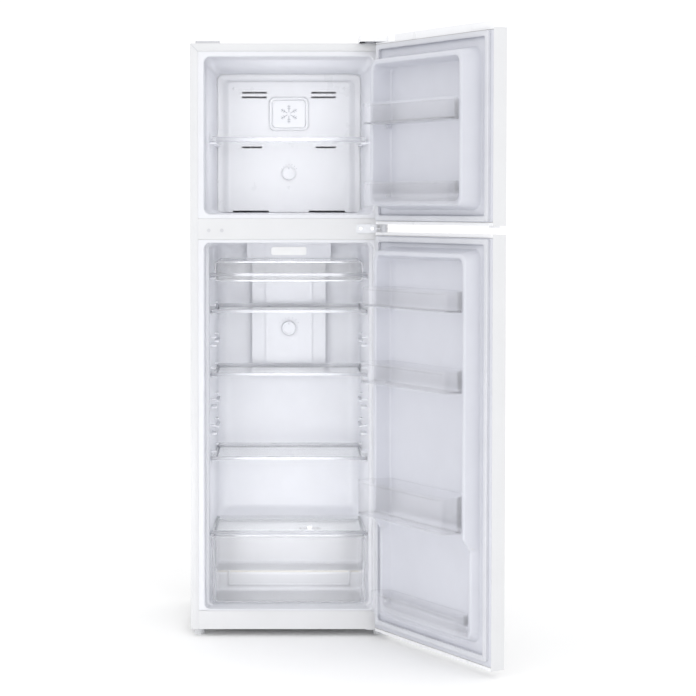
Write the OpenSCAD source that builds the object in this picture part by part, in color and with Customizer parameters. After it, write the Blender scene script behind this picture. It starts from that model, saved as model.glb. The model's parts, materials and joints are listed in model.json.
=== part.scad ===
// Top-freezer refrigerator, both doors hinged on the right and standing open.
// X runs to the viewer's right, Y to the back, Z up. The origin is on the floor under the middle
// of the cabinet. Inside a module, depths are counted back from the cabinet's front plane, so the
// doors have negative depths. Doors are drawn closed and then swung about their hinge pins.

/* [Cabinet] */
// Width of the cabinet and of both doors
cab_w = 545; // [540:1:560]
// Depth of the cabinet behind its front plane
cab_d = 500; // [500:1:540]
// Height of the cabinet's top above the floor
cab_top = 1642; // [1636:1:1660]
// Clearance under the base plate
leg_h = 20; // [19:0.5:22]
// Thickness of the painted steel sheets
sheet_t = 0.8; // [0.6:0.1:1]
// Thickness of the moulded liners
liner_t = 2; // [1.5:0.1:2.2]

/* [Compartments] */
// Half width of both openings at the front
mouth_half = 233; // [230:0.5:234]
// Floor of the fresh-food compartment at its front
fridge_floor = 76; // [74:0.5:78]
// Ceiling of the fresh-food compartment at its front
fridge_ceiling = 1093; // [1091:0.5:1094]
// Floor of the freezer at its front
freezer_floor = 1173; // [1171:0.5:1175]
// Height of the two top edges of the crossbeam plate
beam_z = [1103, 1160];

/* [Doors] */
// Angle at which both doors stand open
open_angle = 120; // [0:5:135]
// Thickness of the foamed door panels
door_t = 42; // [40:0.5:44]
// Gap between the cabinet's front and a closed door's inner face
gasket_gap = 10; // [9.5:0.1:10.5]
// Height of the ridge around the freezer door's liner
freezer_ridge = 56; // [50:1:56]
// Height of the ridge around the fresh-food door's liner
fridge_ridge = 44; // [40:1:44]
// Hinge pins' distance from the door's edge
pin_inset = 12; // [11.5:0.1:12.5]
// Radius of the hinge pins
pin_r = 4; // [3.5:0.1:4.5]

/* [Shelves] */
// Heights of the three glass shelves' tops
shelf_tops = [487, 725, 903];
// Height of the freezer shelf's top
freezer_shelf_top = 1387; // [1380:1:1392]
// Top of the cover over the crisper
crisper_cover_top = 283; // [281:0.5:284]
// Thickness of the shelf glass
glass_t = 4; // [3.2:0.1:4.5]

/* [Hidden] */
$fn = 48;

half_w = cab_w / 2;
inner_half = half_w - sheet_t;
flange_w = 22;
seam_half = half_w - flange_w;
freezer_ceiling = cab_top - 37;
seam_top = cab_top - flange_w;
face_t = 1.5;              // depth of the crossbeam plate and the front rail
base_t = 2;                // thickness of the base plate
base_top = leg_h + base_t;
rail_top = fridge_floor - 4;
fit = 0.05;                // radial clearance of every shaft in its bore
rest = 0.3;                // gap under a piece that slides on a rib
eps = 0.01;

// Depths and heights of the compartments' backs
freezer_back = 462;
freezer_back_half = 211;
freezer_back_z = [freezer_floor + 3, freezer_ceiling - 21];
fridge_back = 445;
fridge_back_half = 211;
rebate_d = 55;
rebate_half = 222.5;
// Side outline of the floor's step and of the hump over the compressor, as [depth, height]
hump = [[250, 40], [250, 137], [362, 137], [362, 262], [470, 296], [470, 40]];
bay = [[290, base_top - 1], [290, 97], [386, 97], [386, 235], [510, 252], [510, base_top - 1]];
bay_half = 250;
passage_half = 45;         // the cold-air passage through the crossbeam
passage_y = [430, 452];

// Shelf ribs
rib_y = [112, 425];
rib_h = 6;
trim_h = 8;                // height of the shelves' front trims
rib_tops = concat([for (z = shelf_tops) z - trim_h - rest], [804, 628.7, 553.7]);
chiller_rail_top = 995.7;
freezer_rib_top = freezer_shelf_top - 11 - rest;
crisper_rib_top = crisper_cover_top - 9 - rest;

// Evaporator, fan and dials
cover_y = [420, 424];
fan_z = 1467;
freezer_dial_z = 1293;
fridge_dial_z = 833;
duct_y = 410;
dial_r = 21;
shaft_r = 4;

// Doors
door_back = -gasket_gap;
door_front = door_back - door_t;
pin_x = half_w - pin_inset;
pin_y = -30;
pin_bore_r = pin_r + fit;
freezer_door_z = [1145.4, cab_top + 15];
fridge_door_z = [22, 1123.4];
cap_h = 8;
top_cap_h = 21;
recess_w = 95;
recess_floor = cab_top - 2;
ridge_base = 47;           // distances from the door's edge to the ridge's feet and crest
ridge_crest = 59;
ridge_crest_in = 70;
ridge_base_in = 80;
freezer_ridge_z = [1185, cab_top - 44];
fridge_ridge_z = [82, 1086];
low_ridge = 22;            // height of the fresh-food door's ridge below its step
ridge_step_z = [323, 354];
skin_r = 2;                // radius of the skin's front edges
gasket_inset = 12.7;
gasket_w = 14;
freezer_gasket_z = [1156, cab_top - 8];
fridge_gasket_z = [44, 1112];

// Door bins: [bottom, top, reach from the door's inner face, floor between the ridges]
freezer_bins = [[1196, 1260, 88, 1227], [1413, 1470, 88, 1413]];
fridge_bins = [[93, 152, 60, 125], [364, 458, 103, 364], [720, 778, 95, 720],
               [925, 979, 90, 925]];
bin_half = half_w - 65;
bin_neck_half = half_w - 81.5;
bin_t = 2.2;

// Feet and rollers
foot_x = half_w - 22.5;
foot_y = 40;
foot_stem_r = 5;
roller_r = 9;
roller_x = 200;
roller_y = 470;
axle_r = 3;

// Screws: [x, depth] on the top and bottom brackets, [x, height] on the middle one
screw_r = 2.4;
top_screws = [[222, 22], [252, 22], [222, 48]];
bottom_screws = [[225, 18], [262, 60], [225, 60]];
middle_screws = [[198, 1133], [229.6, 1133]];
top_plate_t = 3;
mid_plate_z = [1131.5, 1134.5];
low_plate_z = [leg_h - 3.5, leg_h];

white = [0.95, 0.95, 0.96];
cool_white = [0.88, 0.89, 0.93];
clear = [0.85, 0.88, 0.93, 0.35];
steel = [0.7, 0.71, 0.73];

// ---------------------------------------------------------------- helpers

module from_front() {
    translate([0, -cab_d / 2, 0]) children();
}

// Turns what is drawn closed to the angle at which the doors stand
module swung() {
    from_front() translate([pin_x, pin_y, 0]) rotate([0, 0, open_angle])
        translate([-pin_x, -pin_y, 0]) children();
}

module block(x, y, z) {
    translate([x[0], y[0], z[0]]) cube([x[1] - x[0], y[1] - y[0], z[1] - z[0]]);
}

module post(x, y, z, r) {
    translate([x, y, z[0]]) cylinder(r = r, h = z[1] - z[0]);
}

// A cylinder along the depth
module stub(x, z, y, r) {
    translate([x, y[1], z]) rotate([90, 0, 0]) cylinder(r = r, h = y[1] - y[0]);
}

// A cylinder along the width
module bar(x, y, z, r) {
    translate([x[0], y, z]) rotate([0, 90, 0]) cylinder(r = r, h = x[1] - x[0]);
}

module rounded_square(x, y, r) {
    translate([x[0] + r, y[0]]) square([x[1] - x[0] - 2 * r, y[1] - y[0]]);
    translate([x[0], y[0] + r]) square([x[1] - x[0], y[1] - y[0] - 2 * r]);
    for (cx = [x[0] + r, x[1] - r], cy = [y[0] + r, y[1] - r])
        translate([cx, cy]) circle(r);
}

// A rounded slab that is seen from the front, y deep
module front_slab(x, z, r, y) {
    translate([0, y[1], 0]) rotate([90, 0, 0]) linear_extrude(y[1] - y[0])
        rounded_square(x, z, r);
}

// A rounded slab that is seen from above, z high
module level_slab(x, y, r, z) {
    translate([0, 0, z[0]]) linear_extrude(z[1] - z[0]) rounded_square(x, y, r);
}

// An outline of [depth, height] points, drawn out to a half width
module side_profile(points, half) {
    translate([-half, 0, 0]) rotate([90, 0, 90]) linear_extrude(2 * half) polygon(points);
}

// A slab that tapers from a front face to a back face, each [half width, [z low, z high]]
module tapered(front, back, y, r) {
    hull() {
        front_slab([-front[0], front[0]], front[1], r, [y[0], y[0] + eps], $fn = 32);
        front_slab([-back[0], back[0]], back[1], r, [y[1] - eps, y[1]], $fn = 32);
    }
}

function wide(z, g) = [z[0] - g, z[1] + g];
function between(a, b, f) = a + (b - a) * f;
function freezer_half(y) = between(mouth_half, freezer_back_half, y / freezer_back);
function fridge_half(y) =
    between(rebate_half, fridge_back_half, (y - rebate_d) / (fridge_back - rebate_d));

// ---------------------------------------------------------------- compartments

module freezer_space(g) {
    tapered([mouth_half + g, wide([freezer_floor, freezer_ceiling], g)],
            [freezer_back_half + g, wide(freezer_back_z, g)], [-1, freezer_back + g], 17 + g);
}

module fridge_space(g) {
    difference() {
        union() {
            front_slab([-mouth_half - g, mouth_half + g],
                       wide([fridge_floor, fridge_ceiling], g), 15 + g, [-1, rebate_d + g]);
            tapered([rebate_half + g, wide([fridge_floor + 2, fridge_ceiling - 2], g)],
                    [fridge_back_half + g, wide([fridge_floor + 2, fridge_ceiling - 5], g)],
                    [rebate_d - 1, fridge_back + g], 12 + g);
        }
        translate([0, g, -g]) side_profile(hump, half_w);
    }
}

module air_passage() {
    block([-passage_half, passage_half], passage_y, [fridge_ceiling - 20, freezer_floor + 20]);
}

// Ribs on both side walls that carry a sliding piece
module ribs(tops, y, inner, outer) {
    for (top = tops, side = [-1, 1])
        scale([side, 1, 1]) block([inner, outer], y, [top - rib_h, top]);
}

module outer_shell() {
    color(white) from_front() difference() {
        block([-half_w, half_w], [0, cab_d], [leg_h, cab_top]);
        block([-inner_half, inner_half], [sheet_t, cab_d + 1], [leg_h - 1, cab_top - sheet_t]);
        block([-seam_half, seam_half], [-1, 2], [leg_h - 1, seam_top]);
        for (p = top_screws) post(p[0], p[1], [cab_top - 5, cab_top + 1], screw_r);
    }
}

module back_panel() {
    color(steel) from_front()
        block([-inner_half, inner_half], [cab_d - sheet_t, cab_d],
              [bay[4][1], cab_top - sheet_t]);
}

module base_plate() {
    color(white) from_front() difference() {
        union() {
            block([-inner_half, inner_half], [sheet_t, cab_d], [leg_h, base_top]);
            block([-seam_half, seam_half], [0, face_t], [leg_h, rail_top]);
            for (x = [-roller_x - 14, -roller_x + 12, roller_x - 14, roller_x + 12])
                block([x, x + 2], [roller_y - 8, roller_y + 8], [3, leg_h]);
        }
        for (x = [-foot_x, foot_x]) post(x, foot_y, [leg_h - 1, base_top + 1], foot_stem_r + fit);
        bar([-roller_x - 20, roller_x + 20], roller_y, roller_r, axle_r + fit);
        for (p = bottom_screws) post(p[0], p[1], [leg_h - 1, base_top + 1], screw_r);
    }
}

module cabinet_foam() {
    color([0.93, 0.88, 0.7]) from_front() difference() {
        block([-inner_half, inner_half], [liner_t, cab_d - sheet_t],
              [base_top, cab_top - sheet_t]);
        freezer_space(liner_t);
        fridge_space(liner_t);
        side_profile(bay, bay_half);
        air_passage();
        for (x = [-foot_x, foot_x]) post(x, foot_y, [base_top - 1, base_top + 30], 7);
        for (p = top_screws) post(p[0], p[1], [cab_top - 12, cab_top], screw_r);
        for (p = bottom_screws) post(p[0], p[1], [base_top - 1, base_top + 10], screw_r);
        for (p = middle_screws) stub(p[0], p[1], [0, 14], screw_r);
    }
}

module freezer_liner() {
    color(cool_white) from_front() difference() {
        union() {
            block([-seam_half, seam_half], [0, liner_t], [beam_z[1] + 0.3, seam_top - 0.3]);
            intersection() {
                freezer_space(liner_t);
                block([-half_w, half_w], [0, cab_d], [0, cab_top]);
            }
        }
        difference() {
            freezer_space(0);
            ribs([freezer_rib_top], [152, 412], freezer_half(412) - 9, half_w);
        }
        air_passage();
    }
}

module fridge_liner() {
    color(cool_white) from_front() difference() {
        union() {
            block([-seam_half, seam_half], [0, liner_t], [rail_top + 0.3, beam_z[0] - 0.3]);
            intersection() {
                fridge_space(liner_t);
                block([-half_w, half_w], [0, cab_d], [0, cab_top]);
            }
        }
        difference() {
            fridge_space(0);
            ribs(rib_tops, rib_y, fridge_half(rib_y[1]) - 8, half_w);
            ribs([chiller_rail_top], [90, 400], 204.6, half_w);
            ribs([crisper_rib_top], [70, 360], 212.6, half_w);
        }
        air_passage();
    }
}

module crossbeam_plate() {
    color(white) from_front() difference() {
        block([-seam_half, seam_half], [0, face_t], beam_z);
        for (p = middle_screws) stub(p[0], p[1], [-1, 3], screw_r);
    }
}

// ---------------------------------------------------------------- cold-air parts in the freezer

module slot_row(x, z, h) {
    for (side = [-1, 1]) scale([side, 1, 1])
        block(x, [cover_y[0] - 20, cover_y[1] + 1], [z - h / 2, z + h / 2]);
}

module evaporator_cover() {
    z0 = freezer_back_z[0] + 0.6;
    z1 = freezer_back_z[1] + 0.4;
    color(white) from_front() difference() {
        union() {
            front_slab([-212, 212], [z0, z1], 18, cover_y);
            hull() {
                front_slab([-194, 194], [z0, 1566], 12, cover_y);
                front_slab([-178, 178], [z0, 1561], 12, [cover_y[0] - 6, cover_y[1]]);
            }
        }
        front_slab([-175, 175], [z0 + 3, 1558], 10, [cover_y[1] - 7, cover_y[1] + 1]);
        slot_row([66, 139], 1530.5, 5.5);
        slot_row([66, 139], 1516.8, 5.5);
        slot_row([80, 140], 1369, 5);
        slot_row([60, 166], z0 + 2, 6);
        stub(0, fan_z, [cover_y[0] - 20, cover_y[1] + 1], 47);
        stub(0, freezer_dial_z, [cover_y[0] - 20, cover_y[1] + 1], shaft_r + fit);
    }
}

module fan_cover() {
    half = 58;
    color(white) from_front() difference() {
        union() {
            front_slab([-half, half], [fan_z - 48.5, fan_z + 48.5], 12, [404, 414]);
            front_slab([-49, 49], [fan_z - 40, fan_z + 40], 10, [401, 405]);
        }
        front_slab([-half + 2, half - 2], [fan_z - 46.5, fan_z + 46.5], 10, [406, 415]);
        for (side = [-1, 1], k = [-3:3])
            block(side > 0 ? [52, 56] : [-56, -52], [400, 410],
                  [fan_z + k * 11 - 2.5, fan_z + k * 11 + 2.5]);
    }
}

module evaporator_coil() {
    fin_step = 23;
    z = [1197, 1397];
    color(steel) from_front() {
        for (k = [-8:8]) block([k * fin_step - 0.5, k * fin_step + 0.5], [433, 458], z);
        for (k = [0:4]) bar([-196, 196], 446, 1215 + k * 40, 4);
        for (k = [0:3]) post(k % 2 == 0 ? -196 : 196, 446,
                             [1215 + k * 40 - 4.5, 1255 + k * 40 + 4.5], 4.5);
    }
}

module defrost_heater() {
    color([0.85, 0.85, 0.83]) from_front() {
        bar([-180, 180], 446, 1188, 3.5);
        for (x = [-180, 180]) post(x, 446, [1184, 1196], 4.2);
    }
}

module fan_motor() {
    color([0.3, 0.3, 0.32]) from_front() {
        stub(0, fan_z, [444, 458], 22);
        stub(0, fan_z, [430, 445], 2.5);
        for (a = [30, 150, 270]) translate([0, 0, fan_z]) rotate([0, a, 0])
            block([-5, 5], [454, freezer_back - 0.2], [15, 40]);
    }
}

module fan_blades() {
    color([0.25, 0.25, 0.27]) from_front() translate([0, 0, fan_z]) difference() {
        union() {
            stub(0, 0, [429, 441], 13);
            for (k = [0:4]) rotate([0, k * 72, 0]) translate([26, 435, 0]) rotate([28, 0, 0])
                cube([32, 1.6, 15], center = true);
        }
        stub(0, 0, [428, 442], 2.5 + fit);
    }
}

module knob(z, y, r) {
    stub(0, z, [y - 4, y - 0.8], r);
    front_slab([-3.5, 3.5], [z - r + 2, z + r - 2], 3, [y - 11, y - 3]);
    stub(0, z, [y - 1, y + 5], shaft_r);
}

module freezer_dial() {
    color(white) from_front() {
        knob(freezer_dial_z, cover_y[0] - 6, dial_r);
        stub(0, freezer_dial_z, [cover_y[0] - 2, cover_y[1] + 2], shaft_r);
    }
}

module damper_vane() {
    color([0.8, 0.8, 0.82]) from_front() {
        stub(0, freezer_dial_z, [cover_y[1] + 2, cover_y[1] + 5], 8);
        block([-34, 34], [cover_y[1] + 2.5, cover_y[1] + 4.5],
              [freezer_dial_z - 12, freezer_dial_z + 12]);
    }
}

// ---------------------------------------------------------------- fresh-food compartment

module air_duct_cover() {
    z = [692, fridge_ceiling - 7];
    color(white) from_front() difference() {
        union() {
            front_slab([-109, 109], [z[0], z[1]], 6, [duct_y, fridge_back - 1]);
            front_slab([-69, 69], [z[0] + 6, z[1]], 8, [duct_y - 6, duct_y + 2]);
            front_slab([-125, 125], [1032, z[1]], 5, [duct_y - 2, fridge_back - 1]);
            stub(0, fridge_dial_z, [duct_y - 9, duct_y], 27);
        }
        block([-105, 105], [duct_y + 4, fridge_back + 1], [z[0] + 4, z[1] + 1]);
        stub(0, fridge_dial_z, [duct_y - 10, duct_y - 7], dial_r + 2);
        stub(0, fridge_dial_z, [duct_y - 20, duct_y + 6], shaft_r + fit);
        for (side = [-1, 1], vz = [930, 780])
            scale([side, 1, 1]) block([100, 112], [duct_y + 8, duct_y + 26], [vz, vz + 14]);
    }
}

module fridge_dial() {
    color(white) from_front() {
        knob(fridge_dial_z, duct_y - 7, dial_r);
        stub(0, fridge_dial_z, [duct_y - 3, duct_y + 8], shaft_r);
    }
}

module lamp_lens() {
    color([0.97, 0.97, 0.93, 0.8]) from_front()
        front_slab([-52, 52], [1050, 1074], 6, [duct_y - 10, duct_y - 6]);
}

// ---------------------------------------------------------------- machine bay

module compressor() {
    color([0.12, 0.12, 0.13]) from_front() {
        level_slab([20, 160], [392, 496], 45, [40, 150]);
        level_slab([32, 148], [404, 484], 36, [34, 166]);
        level_slab([10, 170], [398, 490], 10, [30, 34]);
        for (x = [22, 158], y = [410, 478]) post(x, y, [base_top, 30], 8);
        block([158, 178], [425, 465], [80, 120]);
    }
}

module refrigerant_pipes() {
    color([0.72, 0.45, 0.3]) from_front() {
        post(60, 430, [166, 200], 3);
        bar([-120, 60], 430, 200, 3);
        post(-120, 430, [150, 200], 9);
        post(120, 440, [166, 215], 4);
        bar([120, 215], 440, 215, 4);
        post(215, 440, [120, 215], 4);
        for (p = [[60, 430, 200, 4], [120, 440, 215, 5], [215, 440, 215, 5]])
            translate([p[0], p[1], p[2]]) sphere(p[3]);
    }
}

module drip_tray() {
    color([0.2, 0.2, 0.22]) from_front() difference() {
        level_slab([-225, -20], [300, 480], 12, [base_top + 3, 62]);
        level_slab([-222.5, -22.5], [302.5, 477.5], 10, [base_top + 6, 63]);
    }
}

module power_inlet() {
    color([0.15, 0.15, 0.16]) from_front() difference() {
        union() {
            block([196, 240], [470, 490], [base_top, 80]);
            stub(218, 56, [488, cab_d], 9);
        }
        stub(218, 56, [476, cab_d + 1], 3.6);
    }
}

// ---------------------------------------------------------------- hinges, feet and rollers

module top_hinge_bracket() {
    z = [cab_top, cab_top + top_plate_t];
    color(steel) from_front() difference() {
        union() {
            level_slab([208, 268], [4, 62], 6, z);
            block([pin_x - 22, pin_x + 8.5], [pin_y, 20], z);
            post(pin_x, pin_y, z, 8.8);
            post(pin_x, pin_y, [cab_top - 18, z[1]], pin_r);
        }
        for (p = top_screws) post(p[0], p[1], wide(z, 1), screw_r);
    }
}

module top_hinge_cover() {
    z = [cab_top + 0.4, cab_top + 16];
    x = [192, half_w - 1];
    y = [pin_y - 19, 72];
    color(white) from_front() difference() {
        level_slab(x, y, 8, z);
        level_slab([x[0] + 2, x[1] - 2], [y[0] + 2, y[1] - 2], 6, [z[0] - 1, z[1] - 2]);
    }
}

module middle_hinge_bracket() {
    color(steel) from_front() {
        difference() {
            front_slab([186, 243], [1121, 1145], 3, [-2.5, 0]);
            for (p = middle_screws) stub(p[0], p[1], [-3, 1], screw_r);
        }
        block([236, 262], [pin_y, -1], mid_plate_z);
        post(pin_x, pin_y, mid_plate_z, 11);
        post(pin_x, pin_y, [1104, 1166], pin_r);
        post(pin_x, pin_y, [fridge_door_z[1] + 0.5, freezer_door_z[0] - 0.5], 7);
    }
}

module bottom_hinge_bracket() {
    color(steel) from_front() difference() {
        union() {
            level_slab([214, 271], [6, 72], 4, low_plate_z);
            block([pin_x - 14, pin_x + 9], [pin_y, 12], low_plate_z);
            post(pin_x, pin_y, low_plate_z, 12);
            post(pin_x, pin_y, [low_plate_z[0], 46], pin_r);
            post(pin_x, pin_y, [low_plate_z[0], fridge_door_z[0] - 0.4], 7);
        }
        post(foot_x, foot_y, wide(low_plate_z, 1), foot_stem_r + fit);
        for (p = bottom_screws) post(p[0], p[1], wide(low_plate_z, 1), screw_r);
    }
}

module hinge_screws() {
    color([0.8, 0.8, 0.82]) from_front() {
        for (p = top_screws) {
            post(p[0], p[1], [cab_top - 9, cab_top + top_plate_t + 1], screw_r);
            post(p[0], p[1], [cab_top + top_plate_t, cab_top + top_plate_t + 3], 4.6);
        }
        for (p = bottom_screws) {
            post(p[0], p[1], [low_plate_z[0] - 1, base_top + 6], screw_r);
            post(p[0], p[1], [low_plate_z[0] - 2.6, low_plate_z[0]], 4.6);
        }
        for (p = middle_screws) {
            stub(p[0], p[1], [-3, 12], screw_r);
            stub(p[0], p[1], [-5.2, -2.5], 4.6);
        }
    }
}

module hinge_hole_caps() {
    color(white) from_front() {
        level_slab([-257, -191], [6, 46], 4, [cab_top, cab_top + 7]);
        for (x = [-221, -185]) stub(x, 1128, [-1.6, 0], 5);
    }
}

module foot(x, pad_top) {
    color([0.85, 0.85, 0.86]) from_front() {
        post(x, foot_y, [0, pad_top], 14);
        post(x, foot_y, [0, pad_top + 3], 9);
        post(x, foot_y, [0, 44], foot_stem_r);
    }
}

module left_foot() {
    foot(-foot_x, 14);
}

module right_foot() {
    foot(foot_x, 10);
}

module rear_rollers() {
    color([0.3, 0.3, 0.32]) from_front() {
        for (x = [-roller_x, roller_x]) bar([x - 10, x + 10], roller_y, roller_r, roller_r);
        bar([-roller_x - 18, roller_x + 18], roller_y, roller_r, axle_r);
    }
}

// ---------------------------------------------------------------- shelves and drawers

module shelf_plan(front_half, back_half, y, z) {
    translate([0, 0, z[0]]) linear_extrude(z[1] - z[0])
        polygon([[-front_half, y[0]], [front_half, y[0]], [back_half, y[1]], [-back_half, y[1]]]);
}

module freezer_shelf() {
    top = freezer_shelf_top;
    color(clear) from_front() {
        shelf_plan(freezer_half(162) - 4, freezer_half(404) - 2, [162, 404], [top - 6, top - 2]);
        difference() {
            block([-218, 218], [150, 164], [top - 11, top]);
            block([-216, 216], [162, 165], [top - 6, top - 2]);
        }
        for (side = [-1, 1]) scale([side, 1, 1])
            block([199, 209.5], [164, 404], [top - 11, top - 6]);
    }
}

module shelf_glass(top) {
    color(clear) from_front()
        shelf_plan(fridge_half(108) - 3, fridge_half(396) - 2, [108, 396],
                   [top - 2 - glass_t, top - 2]);
}

module shelf_trims(top) {
    color(white) from_front() {
        difference() {
            level_slab([-219.5, 219.5], [100, 118], 3, [top - trim_h, top]);
            shelf_plan(fridge_half(108) - 3, fridge_half(396) - 2, [108, 396],
                       [top - 2 - glass_t, top - 2]);
        }
        difference() {
            level_slab([-210, 210], [386, 402], 3, [top - trim_h, top + 4]);
            shelf_plan(fridge_half(108) - 3, fridge_half(396) - 2, [108, 396],
                       [top - 2 - glass_t, top - 2]);
        }
        for (side = [-1, 1]) scale([side, 1, 1])
            block([203, 208], [117, 387], [top - trim_h, top - 2 - glass_t]);
    }
}

module glass_shelf_lower() { shelf_glass(shelf_tops[0]); }
module glass_shelf_middle() { shelf_glass(shelf_tops[1]); }
module glass_shelf_upper() { shelf_glass(shelf_tops[2]); }
module shelf_trims_lower() { shelf_trims(shelf_tops[0]); }
module shelf_trims_middle() { shelf_trims(shelf_tops[1]); }
module shelf_trims_upper() { shelf_trims(shelf_tops[2]); }

// The pad beside the crisper cover's front trim that carries the humidity slider
slider_x = 59;
slider_y = 120;
pad_x = [slider_x - 30, slider_x + 30];
pad_y = [76, 130];

module crisper_cover() {
    top = crisper_cover_top;
    color(clear) from_front() difference() {
        shelf_plan(fridge_half(72) - 3, fridge_half(372) - 2, [72, 372],
                   [top - 3 - glass_t, top - 3]);
        block(wide(pad_x, 1), [60, pad_y[1] + 1], wide([top - 9, top], 1));
    }
}

module crisper_cover_trim() {
    top = crisper_cover_top;
    color(white) from_front() difference() {
        union() {
            level_slab([-218, 218], [58, 78], 4, [top - 9, top]);
            level_slab(pad_x, pad_y, 4, [top - 3, top]);
            for (side = [-1, 1]) scale([side, 1, 1])
                block([204, 211.5], [77, 372], [top - 9, top - 3 - glass_t]);
        }
        difference() {
            shelf_plan(fridge_half(72) - 3, fridge_half(372) - 2, [72, 372],
                       [top - 3 - glass_t, top - 3]);
            block(wide(pad_x, 1), [60, pad_y[1] + 1], wide([top - 9, top], 1));
        }
        block([slider_x - 26, slider_x + 26], [slider_y - 2.6, slider_y + 2.6],
              [top - 10, top + 1]);
    }
}

module humidity_slider() {
    top = crisper_cover_top;
    color(white) from_front() {
        post(slider_x, slider_y, [top + 0.3, top + 5], 7);
        block([slider_x - 5, slider_x + 5], [slider_y - 2.2, slider_y + 2.2],
              [top - 4, top + 1]);
        block([slider_x - 7, slider_x + 7], [slider_y - 5, slider_y + 5],
              [top - 5, top - 3.3]);
    }
}

// The drawer's body widens upwards; g insets it for the inside
module crisper_body(g) {
    difference() {
        hull() {
            level_slab([-204 + g, 204 - g], [60 + g, 350 - g], 14 - g, [83 + g, 83 + g + eps],
                       $fn = 32);
            level_slab([-210.5 + g, 210.5 - g], [60 + g, 356 - g], 14 - g, [271 - eps + g, 271 + g],
                       $fn = 32);
        }
        block([-half_w, half_w], [244 - g, 400], [0, 141 + g]);
    }
}

module crisper_drawer() {
    color(clear) from_front() difference() {
        union() {
            crisper_body(0);
            translate([0, 64, 0]) rotate([90, 0, 0]) linear_extrude(6) hull() {
                for (side = [-1, 1]) {
                    translate([side * 198, 97]) circle(15, $fn = 32);
                    translate([side * 213, 266]) circle(5, $fn = 32);
                }
            }
        }
        crisper_body(2.4);
    }
}

module chiller_drawer() {
    z = [984, 1041];
    color(clear) from_front() difference() {
        union() {
            level_slab([-203, 203], [76, 396], 8, z);
            front_slab([-209.5, 209.5], z, 5, [75, 78]);
            level_slab([-220, 220], [68, 80], 3, [996, 1008]);
            level_slab([-208, 208], [78, 396], 6, [996, 999]);
        }
        level_slab([-200.8, 200.8], [78.2, 393.8], 6, [z[0] + 2.4, z[1] + 1]);
    }
}

// ---------------------------------------------------------------- doors

// The ridge's outline at a distance from the door's edges
module ridge_outline(edge_x, z, r, y) {
    front_slab([-half_w + edge_x, half_w - edge_x], z, r, y, $fn = 32);
}

// The ridge that runs round a door's liner; g thins it to the foam core inside
module ridge(z, h, g) {
    slope = ridge_crest - ridge_base;
    difference() {
        hull() {
            ridge_outline(ridge_base + g, wide(z, -g), 30 - g, [door_back - liner_t, door_back]);
            ridge_outline(ridge_crest + g, wide(z, -slope - g), 24 - g,
                          [door_back + h - g - eps, door_back + h - g]);
        }
        hull() {
            ridge_outline(ridge_base_in - g, wide(z, ridge_base - ridge_base_in + g), 14 + g,
                          [door_back - g, door_back - g + eps]);
            ridge_outline(ridge_crest_in - g, wide(z, ridge_base - ridge_crest_in + g), 18 + g,
                          [door_back + h, door_back + h + 1]);
        }
    }
}

// The fresh-food door's ridge, which is lower below its diagonal step
module stepped_ridge(g) {
    low = door_back + low_ridge - g;
    high = door_back + fridge_ridge - g;
    ridge(fridge_ridge_z, low_ridge, g);
    difference() {
        ridge(fridge_ridge_z, fridge_ridge, g);
        side_profile([[low - low_ridge - 5, 0], [low - low_ridge - 5, ridge_step_z[0]],
                      [low, ridge_step_z[0]], [high, ridge_step_z[1]], [high + 20, 360],
                      [high + 20, 0]], half_w);
    }
}

// Lugs inside the ridge that the bins stand on
module bin_lugs(bins) {
    for (b = bins, side = [-1, 1]) scale([side, 1, 1])
        block([half_w - 86, half_w - 74], [door_back + 6, door_back + 18],
              [b[3] - 8, b[3] - rest]);
}

module door_panel(z, y, half) {
    block([-half, half], y, z);
}

module hinge_recess() {
    for (side = [-1, 1]) scale([side, 1, 1])
        block([half_w - recess_w, half_w + 1], [door_front - 1, door_back + 1],
              [recess_floor, cab_top + 30]);
}

// The sheet-steel skin: a front with two folded sides
module door_skin(z) {
    translate([0, 0, z[0]]) linear_extrude(z[1] - z[0]) difference() {
        union() {
            rounded_square([-half_w, half_w], [door_front, door_back - 4], skin_r);
            translate([-half_w, door_back - 10]) square([cab_w, 10]);
        }
        translate([-inner_half, door_front + sheet_t])
            square([2 * inner_half, door_t + 1]);
    }
}

module freezer_door_skin() {
    color(white) swung() difference() {
        door_skin(freezer_door_z);
        hinge_recess();
    }
}

module fridge_door_skin() {
    color(white) swung() door_skin(fridge_door_z);
}

// Foam between the caps, with the bosses of the bushes left out
module door_foam(z, bosses) {
    difference() {
        block([-inner_half, inner_half], [door_front + sheet_t, door_back - liner_t], z);
        for (b = bosses) post(pin_x, pin_y, b, 8);
    }
}

freezer_inner_z = [freezer_door_z[0] + cap_h, freezer_door_z[1] - top_cap_h];
fridge_inner_z = [fridge_door_z[0] + cap_h, fridge_door_z[1] - cap_h];
freezer_bosses = [[freezer_inner_z[0] - 1, freezer_inner_z[0] + 20],
                  [freezer_inner_z[1] - 20, freezer_inner_z[1] + 1]];
fridge_bosses = [[fridge_inner_z[0] - 1, fridge_inner_z[0] + 22],
                 [fridge_inner_z[1] - 20, fridge_inner_z[1] + 1]];

module freezer_door_foam() {
    color([0.93, 0.88, 0.7]) swung() {
        door_foam(freezer_inner_z, freezer_bosses);
        ridge(freezer_ridge_z, freezer_ridge, liner_t);
    }
}

module fridge_door_foam() {
    color([0.93, 0.88, 0.7]) swung() {
        door_foam(fridge_inner_z, fridge_bosses);
        stepped_ridge(liner_t);
    }
}

module freezer_door_liner() {
    color(cool_white) swung() {
        difference() {
            union() {
                door_panel(freezer_inner_z, [door_back - liner_t, door_back], inner_half);
                ridge(freezer_ridge_z, freezer_ridge, 0);
                bin_lugs(freezer_bins);
            }
            ridge(freezer_ridge_z, freezer_ridge, liner_t);
        }
    }
}

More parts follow.
